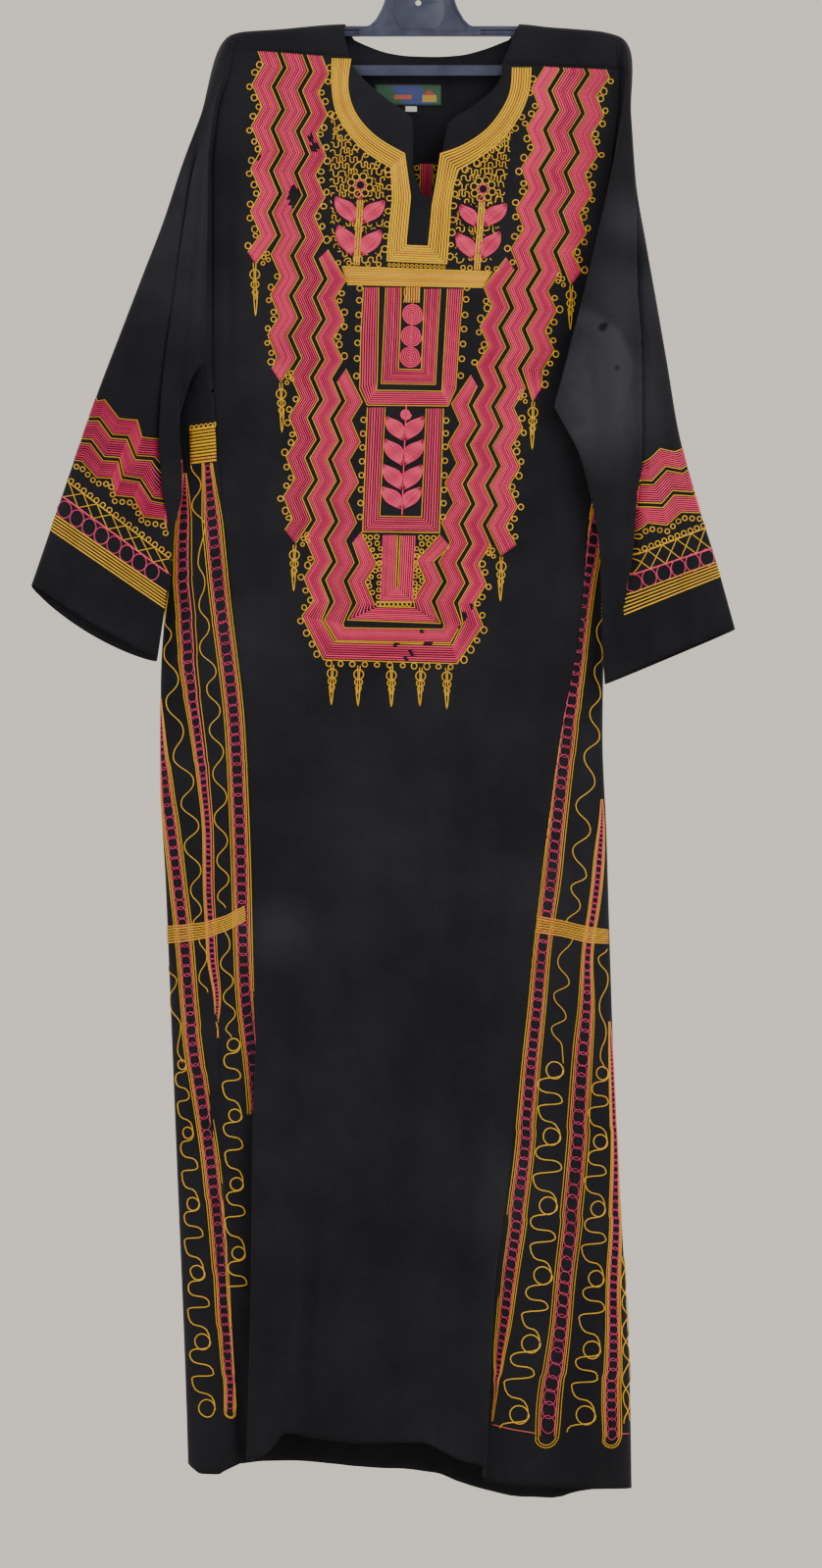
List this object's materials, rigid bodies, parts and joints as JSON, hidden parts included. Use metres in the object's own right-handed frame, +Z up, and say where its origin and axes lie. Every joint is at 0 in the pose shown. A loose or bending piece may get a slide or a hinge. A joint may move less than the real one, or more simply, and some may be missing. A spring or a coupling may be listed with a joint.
{
  "type": "embroidered long dress on a plastic clothes hanger",
  "caption": "Long black dress with wide embroidered chest, side gores and straight sleeves, hung open at neck and hem on a flat plastic hanger with a steel hook.",
  "frame": {"origin": "inside of the hook's top, where the hanger hangs on its rail", "axes": "+Z up, +X to the right of someone who faces the dress's front, +Y from the front to the back"},
  "size_m": [0.717, 0.1074, 1.6114],
  "materials": {
    "dress_cloth": "black cloth, soft matt with a faint sheen, embroidered in crimson, golden yellow and orange thread",
    "crimson_thread": "shiny crimson machine embroidery thread",
    "yellow_thread": "shiny golden yellow machine embroidery thread",
    "orange_thread": "shiny orange machine embroidery thread",
    "label_weave": "woven satin label in plain bands of green, blue, red and yellow",
    "tab_satin": "white satin ribbon",
    "hanger_plastic": "moulded dark slate-blue plastic, half gloss",
    "hook_steel": "bright steel wire"
  },
  "bodies": {
    "root": {"front_panel": "dress_cloth", "back_panel": "dress_cloth", "gore_left": "dress_cloth", "gore_right": "dress_cloth", "sleeve_left": "dress_cloth", "sleeve_right": "dress_cloth", "label": "label_weave", "size_tab": "tab_satin", "hanger_body": "hanger_plastic", "hanger_hook": "hook_steel"}
  },
  "joints": []
}
